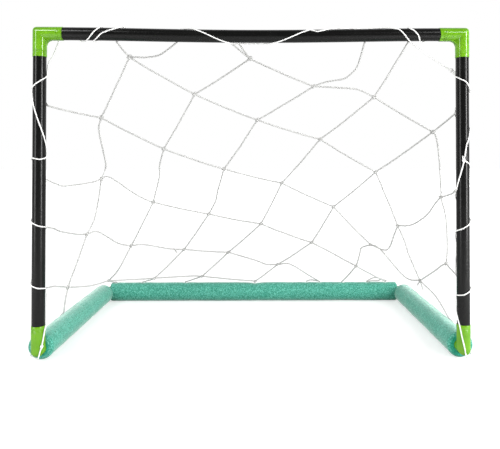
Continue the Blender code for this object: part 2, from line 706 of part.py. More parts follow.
left_strand = route(wound(on_left_post, (0.864, 90), (0.885, 125)), (-0.923, 0.975, 0.05))
left_strand += LACINGS["crossbar_lacing"]
knot_on_strand = hung(0.947, 0.890, 0.04)
right_strand = route(
    wound(on_bar, (0.754, 630)), (0.848, 0.940), (0.905, 0.916), [knot_on_strand], wound(on_right_post, (0.867, 90))
)
joined_twine(
    "crossbar_lacing",
    {"left_strand": left_strand, "right_strand": right_strand},
    [(knot_on_strand, right_strand[-1] - right_strand[-3], KNOT_LENGTH, KNOT_WIDTH)],
    [(LACINGS[name], CLEAR_OF_TWINE) for name in ("left_post_lacing", "right_post_lacing")],
    LACING_SIDES,
)


# Tie: a knot on the right post's lacing, with a short and a long tail

TIE_UP, TIE_DEGREES = 0.595, -11
TIE_PROUD = 0.001  # how far the knot stands out from the lacing's middle
on_lacing = on_right_post(TIE_UP, TIE_DEGREES)
outward = (on_lacing - Vector((HALF, 0, on_lacing.z))).normalized()
tie_place = on_lacing + outward * TIE_PROUD
short_tail = wound(on_right_post, (0.589, -20), (0.576, -27))
long_tail = wound(on_right_post, (0.594, -28), (0.584, -75), (0.575, -96), (0.510, -104))
post_axis = [Vector((HALF, 0, BASE_Z)), Vector((HALF, 0, CROSSBAR_Z))]
clear_of_post = (TUBE_R + FIT) / math.cos(math.pi / CUTTER_SIDES)
joined_twine(
    "right_post_tie",
    {"short_tail": [tie_place, *short_tail], "long_tail": [tie_place, *long_tail]},
    [(tie_place, Vector((0, 0, 1)), TIE_LENGTH, TIE_WIDTH)],
    [(LACINGS["right_post_lacing"], CLEAR_OF_TWINE), (post_axis, clear_of_post)],
    LACING_SIDES,
)
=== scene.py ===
# %% [markdown]
# # A floating pool goal
#
# The real thing is a small goal for water ball games. Two U frames of black plastic pipe are pushed together with
# lime green corner elbows. Three tubes of teal foam round the base keep it afloat, and a knotted white net is laced to
# the pipes with the same twine. The measured solids are loaded first and never moved. Each finer piece below takes
# the place of one of them, so it uses the same sizes.

# %% Load the measured solids
import math

import bmesh
import bpy
from mathutils import Matrix, Vector, kdtree, noise


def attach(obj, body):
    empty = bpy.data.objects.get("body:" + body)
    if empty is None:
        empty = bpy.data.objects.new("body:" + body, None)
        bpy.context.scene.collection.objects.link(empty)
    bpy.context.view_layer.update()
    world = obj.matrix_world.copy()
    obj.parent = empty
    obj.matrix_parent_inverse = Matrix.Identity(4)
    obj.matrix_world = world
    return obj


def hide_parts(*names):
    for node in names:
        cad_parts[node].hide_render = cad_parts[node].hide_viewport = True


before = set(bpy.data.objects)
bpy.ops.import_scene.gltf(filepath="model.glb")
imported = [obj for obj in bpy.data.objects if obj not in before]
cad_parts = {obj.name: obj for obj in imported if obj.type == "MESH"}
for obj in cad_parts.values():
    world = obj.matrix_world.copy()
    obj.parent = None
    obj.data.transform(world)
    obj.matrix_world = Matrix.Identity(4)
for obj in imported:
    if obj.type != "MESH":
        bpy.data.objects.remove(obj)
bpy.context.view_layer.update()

# %% [markdown]
# ## Sizes
#
# All lengths are in metres. The goal is drawn with its origin under the middle of the crossbar, because every piece
# is easy to describe from there: x is a share of the half width, z a share of the rise. One move at the end of each
# piece takes it to the scene, whose origin is under the middle of the whole goal.

# %% Sizes of the frame
HALF = 0.4425  # from the middle to the axis of a post
RISE = 0.6555  # from the axis of the base pipes to the crossbar
DEPTH = 0.490  # from the posts to the back pipe
SAG = 0.0045  # the crossbar's bow
PIPE_R = 0.01335
PIPE_WALL = 0.0029
ELBOW_R = 0.01425
ELBOW_LEG = 0.049
FLOAT_R = 0.027
TWINE_R = 0.0013
NET_TWINE_R = 0.0018  # slack twine, fatter than where it is drawn tight
FIT = 0.0003
FLOAT_FLAT = 0.0005  # how far the foam is pressed flat where it rests
BASE_Z = FLOAT_R - FLOAT_FLAT
BAR_Z = BASE_Z + RISE

# Wound twine is drawn in short straight steps, so its corners stand out a little to keep the steps off the pipe.
BEND = math.cos(math.radians(11.25))
WIND_R = (PIPE_R + FIT + TWINE_R) / BEND
ELBOW_WIND_R = (ELBOW_R + FIT + TWINE_R) / BEND
FLOAT_WIND_R = (FLOAT_R + FIT + TWINE_R) / BEND
TO_SCENE = Matrix.Translation((0, -(DEPTH + FLOAT_WIND_R - ELBOW_WIND_R) / 2, 0))


def bar_height(x):
    """The height of the bowed crossbar's axis, level where it leaves the elbows."""
    share = x / (HALF - ELBOW_LEG)
    return BAR_Z - SAG * max(0, 1 - share * share) ** 2


print("posts at y =", round(TO_SCENE.translation.y, 4))

# %% [markdown]
# ## The camera
#
# The photograph is taken from in front, a little right of the middle and at two thirds of the goal's height. The
# camera is almost level, which keeps the posts upright in the picture, so the framing is done with shift: the goal's
# middle is far above the middle of the frame. The small turn and tilt make the right post lean in as it does there.
# The focal length comes from how much smaller the back of the base looks than its front.

# %% Camera
FOCAL_PIXELS = 528
PICTURE_WIDTH, PICTURE_HEIGHT = 500, 449
MIDDLE_OF_VIEW = (265.2, 156.1)  # the pixel that the camera faces squarely

camera_data = bpy.data.cameras.new("camera")
camera_data.sensor_width = 36
camera_data.lens = FOCAL_PIXELS / PICTURE_WIDTH * camera_data.sensor_width
camera_data.shift_x = (PICTURE_WIDTH / 2 - MIDDLE_OF_VIEW[0]) / PICTURE_WIDTH
camera_data.shift_y = (MIDDLE_OF_VIEW[1] - PICTURE_HEIGHT / 2) / PICTURE_WIDTH
camera = bpy.data.objects.new("camera", camera_data)
camera.location = TO_SCENE @ Vector((0.0165, -1.104, 0.412))
camera.rotation_euler = (math.radians(90.75), 0, math.radians(-0.6))
bpy.context.scene.collection.objects.link(camera)
bpy.context.scene.camera = camera
print("lens:", round(camera_data.lens, 2), "mm")

# %% [markdown]
# ## Colours and nodes
#
# Colours are written as on a paint chart, as sRGB hex values. Blender's sockets want linear light, so one function
# turns the first into the second. A second small function adds a node, sets its values and plugs in its links, which
# keeps each material down to a few readable lines.


# %% Helpers for materials
def linear(hex_colour):
    """The linear colour of an sRGB hex value such as #7cb518."""
    channels = [int(hex_colour[i : i + 2], 16) / 255 for i in (1, 3, 5)]
    return [c / 12.92 if c <= 0.04045 else ((c + 0.055) / 1.055) ** 2.4 for c in channels] + [1]


def add_node(tree, kind, values=None, links=None):
    """Adds a node. Values go to its sockets or properties by name; links join its sockets to others.

    A ramp lists its two ends first and then any stop between them.
    """
    made = tree.nodes.new(kind)
    for name, value in (values or {}).items():
        if name == "ramp":
            for i, (place, hex_colour) in enumerate(value):
                stop = made.color_ramp.elements[i] if i < 2 else made.color_ramp.elements.new(place)
                stop.position, stop.color = place, linear(hex_colour)
        elif isinstance(name, int) or name in made.inputs:
            made.inputs[name].default_value = value
        else:
            setattr(made, name, value)
    for name, socket in (links or {}).items():
        tree.links.new(socket, made.inputs[name])
    return made


def new_material(name, values):
    """A material and its tree, with a Principled shader whose own sockets are set."""
    made = bpy.data.materials.new(name)
    made.use_nodes = True
    shader = made.node_tree.nodes["Principled BSDF"]
    for socket, value in values.items():
        shader.inputs[socket].default_value = value
    return made, made.node_tree, shader


# %% [markdown]
# ## Black pipe
#
# The pipe is extruded PVC, the kind sold for water pipes. Extrusion leaves a satin skin with faint lines along the
# pipe and a slow waviness that makes a reflection wander. Both are noise on Object coordinates. The lines come from
# squeezing the noise along the pipe's direction, so a standing pipe and a lying one each get their own mapping.


# %% Extruded PVC pipe
def extruded_pipe(name, along):
    made, tree, shader = new_material(name, {"IOR": 1.38})
    place = add_node(tree, "ShaderNodeTexCoord").outputs["Object"]
    stretch = [20 if axis == along else 900 for axis in range(3)]  # lines 1 mm apart and 50 mm long
    lined = add_node(tree, "ShaderNodeMapping", {"Scale": stretch}, {"Vector": place})
    lines = add_node(tree, "ShaderNodeTexNoise", {"Scale": 1, "Detail": 2}, {"Vector": lined.outputs[0]})
    waves = add_node(tree, "ShaderNodeTexNoise", {"Scale": 30, "Detail": 1}, {"Vector": place})  # 33 mm
    tone = add_node(
        tree, "ShaderNodeValToRGB", {"ramp": [(0.3, "#040404"), (0.7, "#0b0b0a")]}, {"Fac": lines.outputs["Fac"]}
    )
    gloss = add_node(
        tree,
        "ShaderNodeMapRange",
        {"From Min": 0.3, "From Max": 0.7, "To Min": 0.20, "To Max": 0.28},
        {"Value": waves.outputs["Fac"]},
    )
    scratched = add_node(
        tree, "ShaderNodeBump", {"Strength": 0.12, "Distance": 0.0001}, {"Height": lines.outputs["Fac"]}
    )
    wavy = add_node(
        tree,
        "ShaderNodeBump",
        {"Strength": 0.3, "Distance": 0.0006},
        {"Height": waves.outputs["Fac"], "Normal": scratched.outputs[0]},
    )
    tree.links.new(tone.outputs["Color"], shader.inputs["Base Color"])
    tree.links.new(gloss.outputs["Result"], shader.inputs["Roughness"])
    tree.links.new(wavy.outputs[0], shader.inputs["Normal"])
    return made


LYING_PIPE = extruded_pipe("extruded_black_pvc_lying", 0)
STANDING_PIPE = extruded_pipe("extruded_black_pvc_standing", 2)
print("pipe finishes:", LYING_PIPE.name, STANDING_PIPE.name)

# %% [markdown]
# ## Lime elbows
#
# The elbows are injection-moulded PVC. A polished mould leaves a gloss that shows the lamps as crisp streaks, with a
# slight unevenness where the thick wall shrank as it cooled. The pigment is strong, so the colour hardly varies.

# %% Moulded lime plastic
LIME_PLASTIC, tree, shader = new_material("moulded_lime_pvc", {"IOR": 1.54, "Roughness": 0.11})
place = add_node(tree, "ShaderNodeTexCoord").outputs["Object"]
shrinkage = add_node(tree, "ShaderNodeTexNoise", {"Scale": 40, "Detail": 1}, {"Vector": place})  # 25 mm
tone = add_node(
    tree, "ShaderNodeValToRGB", {"ramp": [(0.25, "#5a910d"), (0.75, "#679f17")]}, {"Fac": shrinkage.outputs["Fac"]}
)
uneven = add_node(
    tree, "ShaderNodeBump", {"Strength": 0.03, "Distance": 0.0004}, {"Height": shrinkage.outputs["Fac"]}
)
tree.links.new(tone.outputs["Color"], shader.inputs["Base Color"])
tree.links.new(uneven.outputs[0], shader.inputs["Normal"])

# %% [markdown]
# ## Teal foam
#
# The floats are closed-cell polyethylene foam, extruded as a tube. Its skin is a mat of flattened cells 1 to 3 mm
# across, each catching the light a little differently, so the surface looks speckled, and it is dull with a soft bloom
# at grazing angles. The cut ends have no skin and are greener. They are also painted darker, as painted shade for
# where the foam meets the elbows.


# %% Polyethylene foam
def foam(name, dark, middle, pale, sheen):
    bloom = {"Sheen Weight": sheen, "Sheen Roughness": 0.35, "Sheen Tint": linear("#f0fff8")}
    made, tree, shader = new_material(name, {"Roughness": 0.75, "IOR": 1.5, **bloom})
    place = add_node(tree, "ShaderNodeTexCoord").outputs["Object"]
    cells = add_node(tree, "ShaderNodeTexVoronoi", {"Scale": 560}, {"Vector": place})  # 1.8 mm
    specks = add_node(tree, "ShaderNodeTexNoise", {"Scale": 420, "Detail": 2}, {"Vector": place})  # 2.4 mm
    each = add_node(tree, "ShaderNodeSeparateColor", links={"Color": cells.outputs["Color"]}).outputs["Red"]
    mixed = add_node(
        tree, "ShaderNodeMath", {"operation": "MULTIPLY_ADD", 1: 0.35}, {0: each, 2: specks.outputs["Fac"]}
    )
    tone = add_node(
        tree, "ShaderNodeValToRGB", {"ramp": [(0.50, dark), (0.86, pale), (0.68, middle)]}, {"Fac": mixed.outputs[0]}
    )
    pitted = add_node(
        tree, "ShaderNodeBump", {"Strength": 0.35, "Distance": 0.0006}, {"Height": cells.outputs["Distance"]}
    )
    rough = add_node(
        tree,
        "ShaderNodeBump",
        {"Strength": 0.4, "Distance": 0.0010},
        {"Height": specks.outputs["Fac"], "Normal": pitted.outputs[0]},
    )
    tree.links.new(tone.outputs["Color"], shader.inputs["Base Color"])
    tree.links.new(rough.outputs[0], shader.inputs["Normal"])
    return made


FOAM_SKIN = foam("polyethylene_foam_skin", "#247d67", "#389680", "#6cbeab", 1.0)
# Cut ends: greener foam without skin, painted darker as painted shade where the foam meets the elbows.
CUT_FOAM_SHADED = foam("polyethylene_foam_cut_and_shade", "#158a70", "#1d9c82", "#36b096", 0.0)
print("foam finishes:", FOAM_SKIN.name, CUT_FOAM_SHADED.name)

# %% [markdown]
# ## White twine
#
# The twine is three strands of white polyester laid together, with a full turn every 9 mm. Each strand stands out
# between two grooves, and the grooves are painted grey as the shade that falls in them. The twine's own UV map runs
# once round it across and counts metres along it, so a sine of both, three to a turn, draws the strands. The net's
# twine is the same twine, slack and opened up so it is drawn fatter. It is also painted greyer than the lacing, which
# is painted shade, so the two have a finish each.

# %% Laid polyester twine
LAY = 0.009
STRANDS = 3


def laid_twine(name, groove, strand, relief):
    made, tree, shader = new_material(name, {"Roughness": 0.62, "Sheen Weight": 0.15})
    unwrapped = add_node(tree, "ShaderNodeTexCoord").outputs["UV"]
    split = add_node(tree, "ShaderNodeSeparateXYZ", links={"Vector": unwrapped})
    turns = add_node(tree, "ShaderNodeMath", {"operation": "DIVIDE", 1: LAY}, {0: split.outputs["Y"]})
    phase = add_node(tree, "ShaderNodeMath", {"operation": "ADD"}, {0: split.outputs["X"], 1: turns.outputs[0]})
    angle = add_node(tree, "ShaderNodeMath", {"operation": "MULTIPLY", 1: STRANDS * 2 * math.pi}, {0: phase.outputs[0]})
    height = add_node(tree, "ShaderNodeMath", {"operation": "SINE"}, {0: angle.outputs[0]})
    share = add_node(tree, "ShaderNodeMapRange", {"From Min": -1.0, "From Max": 1.0}, {"Value": height.outputs[0]})
    # The groove end of the ramp is painted shade: the creases between the strands are drawn grey.
    tone = add_node(
        tree, "ShaderNodeValToRGB", {"ramp": [(0.05, groove), (0.45, strand)]}, {"Fac": share.outputs["Result"]}
    )
    laid = add_node(
        tree, "ShaderNodeBump", {"Strength": relief, "Distance": 0.0002}, {"Height": share.outputs["Result"]}
    )
    tree.links.new(tone.outputs["Color"], shader.inputs["Base Color"])
    tree.links.new(laid.outputs[0], shader.inputs["Normal"])
    return made


# The net's copy of the same white twine is painted greyer than the lacing: painted shade.
SHADED_NET_TWINE = laid_twine("laid_polyester_net_twine_painted_shade", "#a9a9a7", "#b8b8b6", 0.05)
LACING_TWINE = laid_twine("laid_polyester_lacing_twine", "#dcdcda", "#eeeeec", 0.15)
print("twine finishes:", SHADED_NET_TWINE.name, LACING_TWINE.name)

# %% [markdown]
# ## Making pieces
#
# A bmesh becomes a mesh, is moved to the scene's origin in its vertices, and rides on the frame's one body. It says
# which solid it stands for, so that solid is hidden. Faces that meet at less than the given angle are shaded as one
# smooth surface.


# %% Helpers for pieces
def add_piece(name, bm, finishes, nodes, crease=35):
    mesh = bpy.data.meshes.new(name)
    bm.to_mesh(mesh)
    bm.free()
    mesh.transform(TO_SCENE)
    for finish in finishes:
        mesh.materials.append(finish)
    mesh.shade_smooth()
    mesh.set_sharp_from_angle(angle=math.radians(crease))
    made = bpy.data.objects.new(name, mesh)
    bpy.context.scene.collection.objects.link(made)
    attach(made, "root")
    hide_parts(*nodes)
    print(f"{name}: {len(mesh.polygons)} faces")
    return made


# %% [markdown]
# ## Pipes
#
# A pipe is an open cylinder, cut across into short lengths so that the crossbar can bow, and given its wall with
# Solidify's bmesh twin. The crossbar's lengths are then lowered by the same curve that its solid has.


# %% Pipes
PIPE_SIDES = 48
PIPE_CUTS = 39


def pipe(name, finish, start, end):
    start, end = Vector(start), Vector(end)
    length = (end - start).length
    bm = bmesh.new()
    bmesh.ops.create_cone(
        bm, cap_ends=False, segments=PIPE_SIDES, radius1=PIPE_R, radius2=PIPE_R, depth=length
    )
    lengthwise = [edge for edge in bm.edges if abs(edge.verts[0].co.z - edge.verts[1].co.z) > 0.5 * length]
    bmesh.ops.subdivide_edges(bm, edges=lengthwise, cuts=PIPE_CUTS)
    bmesh.ops.recalc_face_normals(bm, faces=bm.faces)
    bmesh.ops.solidify(bm, geom=bm.faces[:], thickness=PIPE_WALL)
    turn = (end - start).to_track_quat("Z", "Y").to_matrix()
    bmesh.ops.rotate(bm, cent=(0, 0, 0), matrix=turn, verts=bm.verts)
    bmesh.ops.translate(bm, vec=(start + end) / 2, verts=bm.verts)
    if name == "crossbar":
        for vert in bm.verts:
            vert.co.z += bar_height(vert.co.x) - BAR_Z
    add_piece(name, bm, [finish], [f"{name}_tube"])


REACH = ELBOW_LEG + FIT
pipe("crossbar", LYING_PIPE, (REACH - HALF, 0, BAR_Z), (HALF - REACH, 0, BAR_Z))
pipe("back_base", LYING_PIPE, (REACH - HALF, DEPTH, BASE_Z), (HALF - REACH, DEPTH, BASE_Z))
for side, word in ((-1, "left"), (1, "right")):
    x = side * HALF
    pipe(f"{word}_post", STANDING_PIPE, (x, 0, BASE_Z + REACH), (x, 0, BAR_Z - REACH))
    pipe(f"{word}_base", STANDING_PIPE, (x, REACH, BASE_Z), (x, DEPTH - REACH, BASE_Z))

# %% [markdown]
# ## Elbows
#
# One moulding is used six times. Each leg is a turned shape: a spigot that goes into the pipe, and a collar with two
# ring grooves. The leg is cut at 45 degrees and a copy is mirrored across the cut by swapping x and z, which leaves
# the sharp mitre line that the photograph shows.
# On the outside of the bend the mould is rounded, so extra cuts beside the mitre are pushed onto an arc, fully on the
# outermost line and not at all at the sides. A thin curved web fills the inner corner, and a small pip shows where the
# plastic was let into the mould.

# %% Elbow leg
RING_SIDES = 64
SPIGOT_R = 0.0093
SPIGOT_LENGTH = 0.028
GROOVE_PLACE = 0.0083  # from the collar's end to the first ring groove
GROOVE_PITCH = 0.0034
GROOVE_SHAPE = ((0.0010, 0), (0.0006, 0.0003), (0, 0.0006), (-0.0006, 0.0003), (-0.0010, 0))  # along, deep
CORNER_ROUND = 0.009
CORNER_CUTS = 5
WEB_LEG = 0.0095
WEB_THICKNESS = 0.010
WEB_ROOT = 0.009  # how deep its corner lies inside the elbow
PIP_PLACE = 0.028
PIP_R = 0.0022


def leg_profile():
    """Down the outer side of one leg: spigot, shoulder, collar with two ring grooves, and past the mitre."""
    tip = ELBOW_LEG + SPIGOT_LENGTH
    points = [(0, tip), (SPIGOT_R - 0.0008, tip), (SPIGOT_R, tip - 0.0008), (SPIGOT_R, ELBOW_LEG)]
    points += [(ELBOW_R - 0.0011, ELBOW_LEG), (ELBOW_R - 0.0003, ELBOW_LEG - 0.0003), (ELBOW_R, ELBOW_LEG - 0.0011)]
    for groove in range(2):
        middle = ELBOW_LEG - GROOVE_PLACE - groove * GROOVE_PITCH
        points += [(ELBOW_R - deep, middle + along) for along, deep in GROOVE_SHAPE]
    return points + [(ELBOW_R, 0), (ELBOW_R, -2 * ELBOW_R)]


def turned(profile, sides):
    """A profile of (radius, height) points spun round Z."""
    bm = bmesh.new()
    verts = [bm.verts.new((radius, 0, height)) for radius, height in profile]
    edges = [bm.edges.new(pair) for pair in zip(verts, verts[1:])]
    bmesh.ops.spin(
        bm, geom=verts + edges, cent=(0, 0, 0), axis=(0, 0, 1), angle=2 * math.pi, steps=sides, use_merge=True
    )
    bmesh.ops.remove_doubles(bm, verts=bm.verts, dist=0.000001)
    return bm


def everything(bm):
    return bm.verts[:] + bm.edges[:] + bm.faces[:]


def elbow_bmesh():
    """One leg, cut at the mitre, rounded on its outer side and joined to its mirrored copy."""
    bm = turned(leg_profile(), RING_SIDES)
    across = Vector((-1, 0, 1)).normalized()
    for i in range(CORNER_CUTS + 1):
        beside = (0, 0, CORNER_ROUND * i / CORNER_CUTS)
        bmesh.ops.bisect_plane(
            bm, geom=everything(bm), dist=0.0000001, plane_co=beside, plane_no=across, clear_inner=i == 0
        )
    for vert in bm.verts:
        outer = max(0, -vert.co.x / ELBOW_R)
        radius = CORNER_ROUND * outer**1.5
        along = vert.co.z - vert.co.x
        if outer > 0.05 and along < radius:
            angle = math.pi / 4 * (1 - along / radius)
            vert.co.z += radius * (1 - math.sin(angle)) - along
            vert.co.x += radius * (1 - math.cos(angle))
    other_leg = bmesh.ops.duplicate(bm, geom=everything(bm))["geom"]
    swap_x_and_z = Matrix(((0, 0, 1, 0), (0, 1, 0, 0), (1, 0, 0, 0), (0, 0, 0, 1)))
    swapped = [item for item in other_leg if isinstance(item, bmesh.types.BMVert)]
    bmesh.ops.transform(bm, matrix=swap_x_and_z, verts=swapped)
    bmesh.ops.remove_doubles(bm, verts=bm.verts, dist=0.000002)
    bmesh.ops.recalc_face_normals(bm, faces=bm.faces)
    return bm


# %% Web and pip
def add_web(bm):
    """The curved web in the inner corner: an arc spun from one vertex, drawn to the corner and thickened."""
    web = bmesh.new()
    centre = ELBOW_R + WEB_LEG
    start = web.verts.new((ELBOW_R, -WEB_THICKNESS / 2, centre))
    bmesh.ops.spin(web, geom=[start], cent=(centre, 0, centre), axis=(0, 1, 0), angle=-math.pi / 2, steps=10)
    out = bmesh.ops.extrude_edge_only(web, edges=web.edges[:])["geom"]
    drawn = [item for item in out if isinstance(item, bmesh.types.BMVert)]
    root = ELBOW_R - WEB_ROOT
    bmesh.ops.pointmerge(web, verts=drawn, merge_co=(root, -WEB_THICKNESS / 2, root))
    sheet = bmesh.ops.extrude_face_region(web, geom=web.faces[:])["geom"]
    moved = [item for item in sheet if isinstance(item, bmesh.types.BMVert)]
    bmesh.ops.translate(web, vec=(0, WEB_THICKNESS, 0), verts=moved)
    bmesh.ops.recalc_face_normals(web, faces=web.faces)
    mesh = bpy.data.meshes.new("web")
    web.to_mesh(mesh)
    web.free()
    bm.from_mesh(mesh)
    bpy.data.meshes.remove(mesh)


def add_pip(bm):
    """A low round pip on the outer side of the first leg."""
    flat = Matrix.Translation((-ELBOW_R, 0, PIP_PLACE)) @ Matrix.Diagonal((0.4, 1, 1, 1))
    bmesh.ops.create_uvsphere(bm, u_segments=20, v_segments=12, radius=PIP_R, matrix=flat)


elbow = elbow_bmesh()
add_web(elbow)
add_pip(elbow)
print("elbow moulding:", len(elbow.faces), "faces")
elbow_mesh = bpy.data.meshes.new("elbow")
elbow.to_mesh(elbow_mesh)
elbow.free()


# %% The six elbows
def place_elbow(name, corner, leg_a, leg_b):
    leg_a, leg_b = Vector(leg_a), Vector(leg_b)
    turn = Matrix((leg_b, leg_a.cross(leg_b), leg_a)).transposed().to_4x4()
    bm = bmesh.new()
    bm.from_mesh(elbow_mesh)
    bmesh.ops.transform(bm, matrix=Matrix.Translation(corner) @ turn, verts=bm.verts)
    add_piece(name + "_moulding", bm, [LIME_PLASTIC], [name], crease=32)


for side, word in ((-1, "left"), (1, "right")):
    x = side * HALF
    inward = (-side, 0, 0)
    place_elbow(f"top_{word}_elbow", (x, 0, BAR_Z), (0, 0, -1), inward)
    place_elbow(f"foot_{word}_elbow", (x, 0, BASE_Z), (0, 0, 1), (0, 1, 0))
    place_elbow(f"back_{word}_elbow", (x, DEPTH, BASE_Z), (0, -1, 0), inward)
bpy.data.meshes.remove(elbow_mesh)

# %% [markdown]
# ## Where twine lies
#
# Twine on the frame is described by how far along a pipe it is and how far round. These small functions turn such a
# pair into a point. Round a pipe, 0 degrees faces the front. On the floats the twine is drawn tight enough to sink a
# millimetre into the foam.

# %% Places on the frame
SINK = 0.0012
WIND_STEP = 11.25  # degrees
WIND_RUN = 0.02


def on_bar(across, degrees):
    """Round the crossbar: 90 degrees is on top, 180 behind."""
    angle = math.radians(degrees)
    x = across * HALF
    return Vector((x, -WIND_R * math.cos(angle), bar_height(x) + WIND_R * math.sin(angle)))


def on_post(side, up, degrees, radius=WIND_R):
    """Round a post: 90 degrees is on its inner side, 180 behind."""
    angle = math.radians(degrees)
    return Vector((side * (HALF - radius * math.sin(angle)), -radius * math.cos(angle), BASE_Z + up * RISE))


def on_left_post(up, degrees):
    return on_post(-1, up, degrees)


def on_right_post(up, degrees):
    return on_post(1, up, degrees)


def on_side_float(side, back, degrees):
    """Round a side float: 0 degrees is its outer side, 90 its top."""
    angle = math.radians(degrees)
    radius = FLOAT_WIND_R - SINK
    return Vector((side * (HALF + radius * math.cos(angle)), back * DEPTH, BASE_Z + radius * math.sin(angle)))


def on_left_float(back, degrees):
    return on_side_float(-1, back, degrees)


def on_right_float(back, degrees):
    return on_side_float(1, back, degrees)


def on_back_float(across, degrees):
    """Round the back float: 0 degrees is its rear side, 90 its top."""
    angle = math.radians(degrees)
    radius = FLOAT_WIND_R - SINK
    return Vector((across * HALF, DEPTH + radius * math.cos(angle), BASE_Z + radius * math.sin(angle)))


def wound(place, *turns):
    """Points of twine wound through (share, degrees) turns of one pipe or float, a short step apart."""
    points = [place(*turns[0])]
    for (share_a, degrees_a), (share_b, degrees_b) in zip(turns, turns[1:]):
        run = (place(share_b, degrees_b) - place(share_a, degrees_b)).length
        pieces = max(1, math.ceil(abs(degrees_b - degrees_a) / WIND_STEP), math.ceil(run / WIND_RUN))
        for i in range(1, pieces + 1):
            t = i / pieces
            points.append(place(share_a + t * (share_b - share_a), degrees_a + t * (degrees_b - degrees_a)))
    return points


def smooth_route(points, pieces):
    """A Catmull-Rom curve through the points."""
    ends = [2 * points[0] - points[1], *points, 2 * points[-1] - points[-2]]
    made = [points[0]]
    for a, b, c, d in zip(ends, ends[1:], ends[2:], ends[3:]):
        for i in range(1, pieces + 1):
            t = i / pieces
            middle = (c - a) * t + (2 * a - 5 * b + 4 * c - d) * t**2 + (3 * b - a - 3 * c + d) * t**3
            made.append(b + middle / 2)
    return made


# %% [markdown]
# ## Lacing
#
# The net's edges are held by twine wound loosely round the pipes, a turn here and there. Each stop below is read off
# the photograph: a share along the pipe and the angle reached there.

# %% Lacing turns
BAR_TURNS = [
    (-0.840, 200), (-0.779, 283), (-0.716, 402), (-0.706, 450), (-0.731, 540), (-0.746, 642),
    (-0.700, 715), (-0.632, 762), (-0.605, 810), (-0.595, 840), (-0.355, 840), (-0.290, 800),
    (-0.265, 763), (-0.100, 638), (-0.094, 622), (-0.061, 608), (0.060, 608), (0.098, 640),
    (0.274, 766), (0.281, 760), (0.307, 743), (0.340, 757), (0.358, 773), (0.400, 800),
    (0.541, 835), (0.640, 800), (0.668, 771), (0.692, 757), (0.753, 638), (0.752, 630),
    (0.750, 540), (0.742, 450), (0.744, 408), (0.764, 378), (0.783, 342), (0.796, 287),
    (0.805, 260), (0.840, 215),
]  # fmt: skip
LEFT_TURNS = [
    (0.890, 110), (0.864, 90), (0.846, 24), (0.827, -42), (0.820, -62), (0.811, -58),
    (0.764, -22), (0.704, 28), (0.642, 84), (0.618, 97), (0.606, 88), (0.599, 28),
    (0.604, -37), (0.600, -90), (0.577, -180), (0.535, -225), (0.463, -180), (0.408, -90),
    (0.403, -50), (0.389, 30), (0.385, 92), (0.371, 180), (0.295, 190), (0.212, 270),
    (0.205, 310), (0.196, 376), (0.192, 450), (0.178, 462),
]  # fmt: skip
RIGHT_TURNS = [
    (0.885, 120), (0.867, 90), (0.845, -10), (0.827, -48), (0.815, -90), (0.790, -180),
    (0.747, -250), (0.720, -180), (0.702, -95), (0.694, -62), (0.646, -11), (0.592, 12),
    (0.551, 38), (0.503, 76), (0.485, 110), (0.450, 180), (0.410, 270), (0.402, 296),
    (0.380, 385), (0.370, 452), (0.330, 505), (0.232, 475), (0.210, 540), (0.192, 630),
    (0.188, 660), (0.172, 739), (0.167, 810), (0.155, 820),
]  # fmt: skip
bar_lacing = wound(on_bar, *BAR_TURNS)
left_lacing = wound(on_left_post, *LEFT_TURNS)
right_lacing = wound(on_right_post, *RIGHT_TURNS)

# %% [markdown]
# ## Border twine
#
# Down each post's inner edge, across the front of the foot elbow, under it, and along the outer lower side of the
# three floats: one line of twine holds the net's lower edge.

# %% Border route
BORDER_ANGLE = -40
BORDER_START = 0.030  # how far behind the posts it comes to the side floats


def foot_route(side, turns, front):
    """Down the post, past the given places on the foot's front, under it and out to the side float."""
    r = ELBOW_WIND_R
    down = wound(lambda up, degrees: on_post(side, up, degrees, r), *turns)
    beside = [*front, (0.45 * FLOAT_WIND_R, 0.1 * r, -1.05 * r), (0.70 * FLOAT_WIND_R, 0.6 * r, -1.13 * r)]
    under = [Vector((side * (HALF + out), y, BASE_Z + z)) for out, y, z in beside]
    beyond = on_side_float(side, BORDER_START / DEPTH, BORDER_ANGLE)
    return down[:-1] + smooth_route([down[-1], *under, beyond], 5)


def corner_arc(side):
    """Round the outside of a back corner."""
    radius = FLOAT_WIND_R - SINK
    out = radius * math.cos(math.radians(BORDER_ANGLE))
    z = BASE_Z + radius * math.sin(math.radians(BORDER_ANGLE))
    angles = [math.pi / 2 * i / 8 for i in range(9)]
    return [Vector((side * (HALF + out * math.cos(a)), DEPTH + out * math.sin(a), z)) for a in angles]


left_foot = foot_route(
    -1,
    [(0.176, 101), (0.150, 97), (0.100, 95), (0.079, 92), (0.062, 72), (0.032, 57), (0.013, 47)],
    [(-0.0088, -0.0140, -0.0042), (-0.0070, -0.0152, -0.0135), (-0.0030, -0.0090, -0.0172)],
)
right_foot = foot_route(
    1,
    [(0.153, 98), (0.140, 95), (0.110, 78), (0.075, 48), (0.030, 26), (0.004, 12)],
    [(-0.0015, -0.0162, -0.0089), (0.0005, -0.0156, -0.0150), (0.0030, -0.0089, -0.0166)],
)
border = left_foot + corner_arc(-1) + corner_arc(1)[::-1] + right_foot[::-1]

# %% [markdown]
# ## The net's knots and lines
#
# The net is a square mesh hung askew. Its two families of lines, a and b, run down to the left and to the right, and
# every crossing is a knot. A knot's place is given by shares of the half width and of the rise. How far back it hangs
# follows from a taut slope whose sides come forward to the posts, except near the floats, where it is given.


# %% Knots
def drape(across, up):
    """How far back the net hangs, as a share of the depth."""
    slope = (1 - up) * RISE / (RISE - FLOAT_R)
    side = min(abs(across), 0.999)
    return slope * (1 - side**2.5) ** 0.4


def hung(across, up, back=None):
    back = drape(across, up) if back is None else back
    return Vector((across * HALF, back * DEPTH, BASE_Z + up * RISE))


